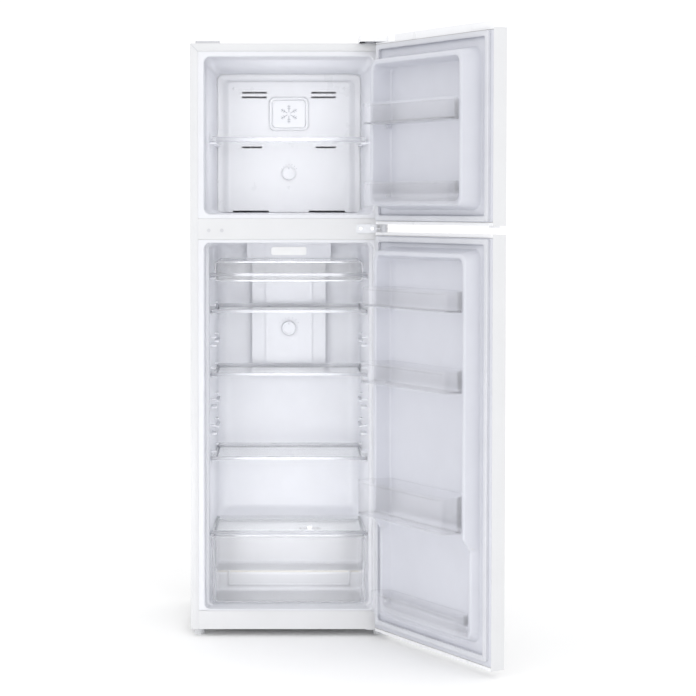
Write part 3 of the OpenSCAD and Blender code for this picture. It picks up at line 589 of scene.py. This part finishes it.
def screw_caps():
    """The plugs over the evaporator cover's screws."""
    y = node_box("evaporator_cover")[0].y
    parts = [turned_part([(0, -1.6), (3.2, -1.5), (4.4, -0.8), (4.8, 0.3), (4.8, 1)], (x, y, z),
                         steps=24)
             for x, z in ((-163, 1542), (163, 1542), (0, 1250))]
    build("evaporator_cover_plugs", *merge(*parts), "cabinet", WHITE, "white_plastic")


def dial(node, body, name, finish):
    """A dial: a dished disc with a raised rim and a pointer."""
    low, high = node_box(node)
    cz, r, y = (low.z + high.z) / 2, (high.z - low.z) / 2, low.y
    disc = turned_part([(0, 2.4), (r - 7.5, 1.9), (r - 5.5, 1.4), (r - 4.4, 0.5), (r - 3, 0),
                        (r - 1.6, 0.2), (r - 0.5, 1), (r, 2.4), (r, 10.2), (4, 10.2),
                        (4, high.y - y)], (0, y, cz))
    mark = plate_part((-0.9, 0.9), (cz + r - 10, cz + r - 5), 0.8, (y + 1.2, y + 2.2), 0.1)
    build(name, *disc, body, finish, "white_plastic", replaced=[node])
    build(name + "_pointer", *mark, body, PRINT, "white_plastic", smooth=False)


def dial_scale(node, y, radius):
    """Plain graduation strokes over a dial, growing towards the coldest setting, on a face at y."""
    low, high = node_box(node)
    cz = (low.z + high.z) / 2
    count, half = 7, 0.45
    parts = []
    for k in range(count):
        a = math.radians(150 - 120 * k / (count - 1))
        c, s = math.cos(a), math.sin(a)
        tip = radius + (2.0 + 2.4 * k / (count - 1))
        quad = [(c * r + s * w, s * r - c * w)
                for r, w in ((radius, -half), (tip, -half), (tip, half), (radius, half))]
        parts.append(loft([[(u, y - 0.15, cz + v) for u, v in quad],
                           [(u, y + 0.4, cz + v) for u, v in quad]], caps=(True, True)))
    build(node + "_marks", *merge(*parts), "cabinet", PRINT, "white_plastic", smooth=False)


def evaporator_moulding():
    """The soft rounded border of the evaporator cover, from its edge bead up to the raised panel,
    as (distance from the cover's edge, depth behind its front)."""
    low, high = node_box("evaporator_cover")
    front = low.y
    profile = [(-3, 7.6), (-0.4, 7.5), (0, 7.2), (0.8, 5.9), (2.2, 5.2), (4, 5.3), (5.5, 5.6),
               (14, 5.6), (17, 5.3), (19.5, 4.6), (22, 3.6), (28, 1.2), (31, 0.2), (34, -0.25),
               (37, -0.4), (38, -0.1)]
    rings = []
    for e, t in profile:
        x, top = high.x - e, high.z - (e if e < 17 else 17 + (e - 17) * 0.4)
        r = 18 - e * 0.2
        outline = rounded_polygon([(-x, low.z + 0.1, 0.4), (x, low.z + 0.1, 0.4), (x, top, r),
                                   (-x, top, r)], 8)
        rings.append([(px, front + t, pz) for px, pz in outline])
    build("evaporator_cover_border", *loft(rings), "cabinet", WHITE, "white_plastic", sharp=75)


def fan_cover():
    """The square fan cover, as (distance from its edge, depth): a rounded base, a groove, a raised
    face."""
    low, high = node_box("fan_cover")
    profile = [(0, 13), (0, 4.6), (0.6, 3.6), (1.8, 3), (4.6, 2.9), (5.8, 3.3), (6.6, 4.4), (7.6, 4.4),
               (8.3, 3.2), (8.8, 1.6), (9.8, 0.6), (11.6, 0.1), (14, 0)]
    rings = []
    for e, t in profile:
        outline = rounded_rect(low.x + e, high.x - e, low.z + e * 0.85, high.z - e * 0.85, 15 - e * 0.4)
        rings.append([(px, low.y + t, pz) for px, pz in outline])
    build("fan_cover_face", *loft(rings, caps=(False, True)), "cabinet", WHITE, "white_plastic",
          replaced=["fan_cover"], sharp=60)


# ---------------------------------------------------------------- shelves and drawers


def freezer_shelf_bar():
    """The shelf's rounded front rail with its end stops."""
    low, high = node_box("freezer_shelf")
    bar = box_part((-206, 206), (low.y - 0.5, low.y + 14), (low.z + 0.2, high.z + 3.4), 4)
    ends = [box_part(on_side(side, 204, 217), (low.y + 1, low.y + 16),
                     (low.z + 0.4, high.z + 4), 2) for side in (-1, 1)]
    build("freezer_shelf_rail", *bar, "freezer_shelf", TRIM, "clear_plastic")
    build("freezer_shelf_stops", *merge(*ends), "freezer_shelf", RIM, "clear_plastic")


def front_frame(xb0, xb1, xt0, xt1, z0, z1, r, width, y):
    """A thin frame whose foot and head may differ in width."""
    rings = []
    for e, t in ((0, y[1]), (0, y[0] + 0.5), (0.5, y[0]), (width - 0.5, y[0]), (width, y[0] + 0.5),
                 (width, y[1])):
        outline = rounded_polygon([(xb0 + e, z0 + e, max(r - e, 1)), (xb1 - e, z0 + e, max(r - e, 1)),
                                   (xt1 - e, z1 - e, max(r - e, 1)), (xt0 + e, z1 - e, max(r - e, 1))])
        rings.append([(px, t, pz) for px, pz in outline])
    return loft(rings, loop=True)


def chiller_bar():
    """The chiller drawer's front rail and the frame round its clear front."""
    low, high = node_box("chiller_drawer")
    rail = box_part((-219.5, 219.5), (low.y - 2, low.y + 4), (999, 1007.5), 2.2)
    build("chiller_front_rail", *rail, "chiller_drawer", TRIM, "clear_plastic")
    build("chiller_front_frame", *front_frame(-207, 207, -207, 207, low.z + 1, high.z - 1, 8, 3.2,
                                              (low.y - 0.5, low.y + 1)),
          "chiller_drawer", RIM, "clear_plastic")


def shell_rings(low_half, high_half, y0, y_low, y_high, z0, z1, step, r):
    """Rings of an open drawer body that widens upwards; step is (y, z) of its raised back, if any."""
    def ring(z, back=None, inset=0.0):
        f = (z - z0) / (z1 - z0)
        half, y1 = lerp(low_half, high_half, f) - inset, lerp(y_low, y_high, f) - inset
        y1 = back if back else y1
        outline = rounded_rect(-half, half, y0 + inset, y1, max(r - inset * 0.3, 2), 6)
        return [(x, y, z) for x, y in outline]
    back = step[0] if step else None
    fillet = 6
    rings = [ring(z0 + fillet * (1 - c), back, fillet * (1 - s)) for s, c in quarter(5)]
    if step:
        rings += [ring(step[1] - 4, step[0]), ring(step[1] - 1, step[0] + 1),
                  ring(step[1], step[0] + 4), ring(step[1] + 0.4, y_low - 6), ring(step[1] + 5)]
    return rings + [ring(lerp(step[1] if step else z0 + fillet, z1, 0.5)), ring(z1 - 1), ring(z1)]


def rim_strip(rings, width, depth):
    """A thick lip round the top ring of an open drawer body."""
    top = rings[-1]
    cx = sum(p[0] for p in top) / len(top)
    cy = sum(p[1] for p in top) / len(top)

    def moved(d, dz):
        out = []
        for x, y, z in top:
            away = Vector((x - cx, y - cy)).normalized()
            out.append((x - away.x * d, y - away.y * d, z + dz))
        return out
    return loft([moved(0, 0), moved(-0.4, -0.6), moved(-0.4, -depth), moved(width, -depth),
                 moved(width, -0.6), moved(width * 0.8, 0)], loop=True)


def clear_drawers():
    """The crisper and chiller bodies as thin clear walls with thick lips, and the crisper's front."""
    low, high = node_box("crisper_drawer")
    rings = shell_rings(204, 210.5, 64.5, 350, 356, low.z, high.z, (244, 141), 14)
    build("crisper_body", *loft(rings, caps=(True, False)), "crisper_drawer", CLEAR, "clear_plastic",
          replaced=["crisper_drawer"], sharp=50)
    build("crisper_lip", *rim_strip(rings, 2.4, 4), "crisper_drawer", RIM, "clear_plastic")
    outline = rounded_polygon([(-213, low.z, 15), (213, low.z, 15), (218, high.z, 5),
                               (-218, high.z, 5)])
    middle = 177
    panel = loft([[(x * f, low.y + t, (z - middle) * f + middle) for x, z in outline]
                  for f, t in ((0.985, 5.6), (1, 4.5), (1, 1), (0.995, 0))], caps=(False, True))
    build("crisper_front", *panel, "crisper_drawer", CLEAR, "clear_plastic", sharp=50)
    low, high = node_box("chiller_drawer")
    rings = shell_rings(203, 203, 78.5, 396, 396, low.z, high.z, None, 8)
    build("chiller_body", *loft(rings, caps=(True, False)), "chiller_drawer", CLEAR, "clear_plastic",
          replaced=["chiller_drawer"], sharp=50)
    build("chiller_lip", *rim_strip(rings, 2.2, 3), "chiller_drawer", RIM, "clear_plastic")
    panel = plate_part((-209.5, 209.5), (low.z, high.z), 5, (75, 78), 0.8)
    build("chiller_front", *panel, "chiller_drawer", CLEAR, "clear_plastic")
    sides = [box_part(on_side(side, 200.5, 207.8), (78, 396), (996.1, 999), 0.8)
             for side in (-1, 1)]
    build("chiller_runners", *merge(*sides), "chiller_drawer", CLEAR, "clear_plastic")


def crisper_frame():
    """The frame moulded round the crisper's clear front."""
    low, high = node_box("crisper_drawer")
    build("crisper_front_frame", *front_frame(-212, 212, -216.5, 216.5, low.z + 1, high.z - 1, 12, 3.4,
                                              (low.y - 0.6, low.y + 1)),
          "crisper_drawer", RIM, "clear_plastic")


def crisper_cover_rails():
    """The crisper cover's front and side rails, and the clear pad in which the slider runs."""
    low, high = node_box("crisper_cover_trim")
    slider_low, slider_high = node_box("humidity_slider")
    sx, sy = (slider_low.x + slider_high.x) / 2, (slider_low.y + slider_high.y) / 2
    rails = [box_part((low.x, high.x), (58, 77.8), (low.z, high.z), 2.6)]
    for side in (-1, 1):
        rails.append(box_part(on_side(side, 204.2, 211.4), (77, 371.8),
                              (low.z, high.z - 7.2), 1.2))
    build("crisper_cover_rails", *merge(*rails), "cabinet", TRIM, "trim_plastic",
          replaced=["crisper_cover_trim"])
    z = (high.z - 3, high.z)
    pad = [box_part((sx - 30, sx + 30), (77.8, sy - 2.8), z, 0.8),
           box_part((sx - 30, sx + 30), (sy + 2.8, 130), z, 0.8),
           box_part((sx - 30, sx - 26.2), (sy - 3, sy + 3), z, 0.5),
           box_part((sx + 26.2, sx + 30), (sy - 3, sy + 3), z, 0.5)]
    build("slider_track", *merge(*pad), "cabinet", CLEAR, "clear_plastic")


# ---------------------------------------------------------------- doors


def ring_at(edge, span, ridge, r, t, levels):
    """A ring of the door liner at a distance from the door's edges, with extra points at levels; t
    gives its height over the door's inner face at each z."""
    x = HALF_W - edge
    if edge < RIDGE_FOOT:
        z0 = lerp(span[0], ridge[0], edge / RIDGE_FOOT)
        z1 = lerp(span[1], ridge[1], edge / RIDGE_FOOT)
    else:
        z0, z1 = ridge[0] + edge - RIDGE_FOOT, ridge[1] - edge + RIDGE_FOOT
    steps = 8
    points = rounded_rect(-x, x, z0, z1, r, steps)
    first, second = points[:2 * (steps + 1)], points[2 * (steps + 1):]
    ring = first + [(x, z) for z in levels] + second + [(-x, z) for z in reversed(levels)]
    return [(px, DOOR_BACK + t(pz), pz) for px, pz in ring]


def door_liner(door, height, low_factor, step):
    """The vacuum-formed inner face of a door, with its ridge round a shallow pocket.

    The profile is (distance from the door's edges, height over its inner face, corner radius). Below
    the heights in step the ridge is lower, by low_factor.
    """
    low, high = node_box(door + "_liner")
    span, ridge = (low.z, high.z), RIDGE_Z[door]
    profile = [(1.2, -1.6, 3), (1.2, -0.4, 3), (1.6, 0, 3), (44, 0, 29), (46.4, 0.4, 30),
               (48, 1.8, 29.5), (49.2, 5, 29), (57.2, height - 5, 25), (58.4, height - 2, 24.5),
               (60.4, height - 0.4, 24), (62.5, height, 23), (67, height, 21), (69, height - 0.5, 20),
               (70.6, height - 2.2, 19), (71.4, height - 5, 18.5), (77.6, 6, 15.5), (79, 2.4, 15),
               (81.5, 0.6, 14), (85, 0, 13)]
    levels = [step[0] - 6, step[0], step[0] + 4, step[1] - 4, step[1], step[1] + 6] if step else []

    def scale_at(z):
        if not step:
            return 1.0
        return interpolate([(-1e4, low_factor), (step[0], low_factor), (step[1], 1), (1e4, 1)], z)
    rings = [ring_at(e, span, ridge, r, lambda z, t=t: t * scale_at(z) if t > 0 else t, levels)
             for e, t, r in profile]
    # its finish is the liner plastic darkened, a painted shade
    build(door + "_inner_face", *loft(rings, caps=(False, True)), door, SHADED_DOOR_LINER, "liner_plastic",
          matrix=SWUNG, replaced=[door + "_liner"], sharp=60)


def door_gasket(door):
    """The magnetic seal: a bellows profile, as (distance across, height), swept round the door."""
    low, high = node_box(door + "_gasket")
    z = (low.z, high.z)
    inset, width = 12.7, 14
    profile = [(1.2, -0.2), (0.3, 1.2), (1.6, 2.8), (0.5, 4.4), (0, 6.2), (0.2, 8.4), (1.4, 9.4),
               (3.5, 9.45), (4.2, 9.1), (5, 9.45), (width - 1.4, 9.4), (width - 0.2, 8.4),
               (width, 6.2), (width - 0.5, 4.4), (width - 1.6, 2.8), (width - 0.3, 1.2),
               (width - 1.2, -0.2)]
    rings = []
    for e, t in profile:
        x = HALF_W - inset - e
        ring = rounded_rect(-x, x, z[0] + e, z[1] - e, 6, 6)
        rings.append([(px, DOOR_BACK + t, pz) for px, pz in ring])
    build(door + "_seal", *loft(rings, loop=True), door, GASKET, "gasket_rubber", matrix=SWUNG,
          replaced=[door + "_gasket"], sharp=70)


def door_skin(door):
    """The folded steel front of a door with softly rounded long edges."""
    low, high = node_box(door + "_skin")
    bend, sheet = 2.6, 0.75

    def path(inset):
        x, y, r = HALF_W - inset, DOOR_FRONT + inset, max(bend - inset, 0.2)
        points = [(-x, DOOR_BACK - 0.3)] + arc(-x + r, y + r, r, 180, 270, 6)
        return points + arc(x - r, y + r, r, 270, 360, 6) + [(x, DOOR_BACK - 0.3)]
    outline = path(0) + path(sheet)[::-1]
    top = RECESS_Z if door == "freezer_door" else high.z
    parts = [loft([[(x, y, z) for x, y in outline] for z in (low.z, top)], caps=(True, True))]
    if top < high.z:
        half = HALF_W - RECESS_W
        parts.append(box_part((-half, half), (DOOR_FRONT, DOOR_FRONT + sheet), (top - 0.2, high.z), 0.2))
    build(door + "_outer_skin", *merge(*parts), door, PAINT, "painted_steel", matrix=SWUNG,
          replaced=[door + "_skin"], sharp=40)


def tray_outline(neck, wide, y0, ys, y1, inset):
    """A door bin's plan: a neck between the ridges, from y0 to ys, and a wider front, up to y1."""
    i = inset
    tight = max(min(3, (ys - y0) / 3) - i, 0.05)
    return rounded_polygon([
        (-neck + i, y0 + i, tight), (neck - i, y0 + i, tight),
        (neck - i, ys + i, min(tight, 2)), (wide - i, ys + i, max(4 - i, 0.5)),
        (wide - i, y1 - i, max(15 - i, 2)), (-wide + i, y1 - i, max(15 - i, 2)),
        (-wide + i, ys + i, max(4 - i, 0.5)), (-neck + i, ys + i, min(tight, 2))], 6)


def bin_tray(node, reach, shoulder, neck_floor):
    """A clear bin with rounded bottom edges and a thickened rim.

    It reaches out from the door's inner face by reach. Its neck, between the ridges, is as deep as
    shoulder and has its floor at neck_floor, which may be raised over the front's.
    """
    low, high = node_box(node)
    z0, z1 = low.z, high.z
    wall, fillet, skirt = 2.2, 5, 0.7      # skirt: the rim stands this far out over the walls
    y0, ys, y1 = DOOR_BACK + 1.5, DOOR_BACK + shoulder + 1.5, DOOR_BACK + reach
    neck, wide = HALF_W - 81.5, HALF_W - 65
    raised = neck_floor > z0
    start = ys - 0.4 if raised else y0

    def ring(inset, z, back=y0):
        return [(x, y, z) for x, y in tray_outline(neck, wide, back, ys, y1, inset)]
    rings = [ring(fillet + 1, z0 + 1.2, start), ring(fillet, z0, start)]
    rings += [ring(max(fillet * (1 - s), skirt), z0 + fillet * (1 - c), start) for s, c in quarter(5, 1)]
    if raised:
        rings += [ring(skirt, neck_floor, start), ring(skirt, neck_floor + 0.3, y0 + 4),
                  ring(skirt, neck_floor + 3, y0)]
    rings += [ring(skirt, z1 - 5), ring(0.1, z1 - 4.2), ring(0, z1 - 3.6), ring(0, z1 - 0.7),
              ring(0.6, z1), ring(wall + 0.4, z1), ring(wall + 0.8, z1 - 0.6)]
    if raised:
        rings += [ring(wall + skirt, neck_floor + wall + 3), ring(wall + skirt, neck_floor + wall, y0 + 3),
                  ring(wall + skirt, neck_floor + wall - 0.3, start)]
    rings += [ring(wall + skirt + fillet * (1 - c), z0 + wall + fillet * (1 - s), start)
              for s, c in quarter(5)]
    build(node + "_tray", *loft(rings, caps=(True, True)), node, BIN, "clear_plastic",
          matrix=SWUNG, replaced=[node], sharp=50)
    grip = box_part((-wide + 26, wide - 26), (y1 - wall - 3.2, y1 - wall + 0.4), (z1 - 9, z1 - 6.5), 1)
    build(node + "_rail", *grip, node, BIN, "clear_plastic", matrix=SWUNG)


def bin_lugs(door, bins):
    """The lugs on a door's ridges that carry its bins."""
    parts = []
    for _, low in bins.values():
        for side in (-1, 1):
            x = on_side(side, HALF_W - 85.5, HALF_W - 74)
            parts.append(box_part(x, (DOOR_BACK + 6, DOOR_BACK + 18), (low - 8, low - 0.3), 1.6))
    # the lugs take the door liner's darkened finish, a painted shade
    build(door + "_bin_lugs", *merge(*parts), door, SHADED_DOOR_LINER, "liner_plastic", matrix=SWUNG)


# ---------------------------------------------------------------- camera, light and stage


def camera():
    """The photograph's view: straight in front, level with the upper third, from about 5.3 m."""
    data = bpy.data.cameras.new("camera")
    data.sensor_width = 36
    data.lens = 100.03
    data.shift_x = 0.0849
    data.shift_y = -0.09
    cam = bpy.data.objects.new("camera", data)
    bpy.context.scene.collection.objects.link(cam)
    cam.location = (0, FRONT_Y - 5.333, 1.195)
    cam.rotation_euler = (math.radians(90 - 2.347), 0, 0)
    bpy.context.scene.camera = cam


def area_light(name, place, target, size, watts):
    """A rectangular light that shines from a place towards a target."""
    data = bpy.data.lights.new(name, "AREA")
    data.shape = "RECTANGLE"
    data.size, data.size_y = size
    data.energy = watts
    lamp = bpy.data.objects.new(name, data)
    bpy.context.scene.collection.objects.link(lamp)
    lamp.location = place
    lamp.rotation_mode = "QUATERNION"
    lamp.rotation_quaternion = (Vector(target) - Vector(place)).to_track_quat("-Z", "Y")


def studio():
    """White surroundings, soft lights in front, faint lights inside the compartments, and a floor."""
    world = bpy.data.worlds.new("studio")
    bpy.context.scene.world = world
    world.use_nodes = True
    sky = world.node_tree.nodes["Background"]
    sky.inputs["Color"].default_value = (1, 1, 1, 1)
    sky.inputs["Strength"].default_value = 1.08
    middle = (0, FRONT_Y, 0.85)
    area_light("front_fill", (1.0, FRONT_Y - 4.4, 1.7), middle, (2.4, 2.4), 22)
    area_light("left_key", (-3.0, FRONT_Y - 2.4, 2.2), middle, (1.8, 2.4), 4)
    area_light("top_soft", (0.3, FRONT_Y - 0.8, 3.4), middle, (2.6, 2.6), 4)
    area_light("low_fill", (-0.5, FRONT_Y - 1.2, 0.25), (0, FRONT_Y, 0.05), (0.8, 0.3), 2)
    for label, y, z, size, watts in (("freezer", 0.06, 1.39, (0.3, 0.3), 0.45),
                                     ("upper_fridge", 0.06, 0.85, (0.3, 0.42), 0.5),
                                     ("lower_fridge", 0.06, 0.36, (0.3, 0.4), 0.55),
                                     ("crisper", 0.24, 0.19, (0.36, 0.07), 0.05),
                                     ("chiller", 0.2, 1.045, (0.38, 0.05), 0.07)):
        area_light(label + "_glow", (0, FRONT_Y + y, z), (0, FRONT_Y + 1, z), size, watts)
    mesh = bpy.data.meshes.new("floor")
    reach = 12
    mesh.from_pydata([(-reach, -reach, 0), (reach, -reach, 0), (reach, reach, 0), (-reach, reach, 0)],
                     [], [(0, 1, 2, 3)])
    floor = bpy.data.objects.new("floor", mesh)
    bpy.context.scene.collection.objects.link(floor)
    mesh.materials.append(material("floor_paper", (0.97, 0.97, 0.97), 0.95, vary=0.01, vary_scale=2))
    bpy.context.scene.view_settings.view_transform = "Standard"


# ---------------------------------------------------------------- putting it together

camera()
studio()

cabinet_shell()
machine_bay()
flange_seams()
freezer_liner()
fridge_liner()
shelf_ribs()
back_wall_seam()
step_frame()
evaporator_moulding()
fan_cover()
freezer_shelf_bar()
chiller_bar()
clear_drawers()
crisper_frame()
crisper_cover_rails()
snow_emblem()
screw_caps()
dial("freezer_dial", "freezer_control", "freezer_knob", WHITE)
dial("fridge_dial", "fridge_control", "fridge_knob", LINER)
dial_scale("freezer_dial", node_box("evaporator_cover")[0].y, 24)
dial_scale("fridge_dial", node_box("air_duct_cover")[0].y + 3, 30)

# Each bin's reach from the door's inner face and the height of its floor between the ridges
FREEZER_BINS = {"freezer_bin_lower": (88, 1227), "freezer_bin_upper": (88, 1413)}
FRIDGE_BINS = {"fridge_bin_bottom": (60, 125), "fridge_bin_lower": (103, 364),
               "fridge_bin_middle": (95, 720), "fridge_bin_top": (90, 925)}
door_liner("freezer_door", 56, 1.0, None)
door_liner("fridge_door", 44, 0.5, (318, 349))
for door in ("freezer_door", "fridge_door"):
    door_gasket(door)
    door_skin(door)
for node, (reach, neck_floor) in FREEZER_BINS.items():
    bin_tray(node, reach, 56, neck_floor)
for node, (reach, neck_floor) in FRIDGE_BINS.items():
    bin_tray(node, reach, 22 if node == "fridge_bin_bottom" else 44, neck_floor)
bin_lugs("freezer_door", FREEZER_BINS)
bin_lugs("fridge_door", FRIDGE_BINS)

for node, finish, bevel in (
        ("back_panel", STEEL, 0.3), ("base_plate", PAINT, 0.3), ("cabinet_foam", FOAM, 0),
        ("crossbeam_plate", PAINT, 0.4), ("evaporator_cover", WHITE, 0.9),
        ("evaporator_coil", ALUMINIUM, 0.1), ("defrost_heater", ALUMINIUM, 0.3),
        ("fan_motor", DARK, 0.5), ("fan_blades", DARK, 0.3),
        ("damper_vane", GREY, 0.4), ("air_duct_cover", LINER, 1.2), ("lamp_lens", LAMP, 1.2),
        ("compressor", BLACK, 3.0), ("refrigerant_pipes", COPPER, 0.4), ("drip_tray", DARK, 0.8),
        ("power_inlet", DARK, 0.8), ("top_hinge_bracket", STEEL, 0.5),
        ("top_hinge_cover", WHITE, 1.0), ("middle_hinge_bracket", STEEL, 0.5),
        ("bottom_hinge_bracket", STEEL, 0.5), ("hinge_screws", SCREW, 0.6),
        # the hinge hole caps take the grey painted-shade finish
        ("hinge_hole_caps", SHADED_CAP, 0.8), ("left_foot", GREY, 0.8), ("right_foot", GREY, 0.8),
        ("rear_rollers", DARK, 0.6), ("freezer_shelf", CLEAR, 0.8),
        ("glass_shelf_lower", GLASS, 0.5), ("glass_shelf_middle", GLASS, 0.5),
        ("glass_shelf_upper", GLASS, 0.5), ("shelf_trims_lower", TRIM, 0.8),
        ("shelf_trims_middle", TRIM, 0.8), ("shelf_trims_upper", TRIM, 0.8),
        ("crisper_cover", GLASS, 0.5), ("humidity_slider", WHITE, 0.8),
        ("freezer_door_foam", FOAM, 0), ("fridge_door_foam", FOAM, 0),
        ("freezer_door_caps", WHITE, 0.8), ("fridge_door_caps", WHITE, 0.8)):
    dress(node, finish, bevel)
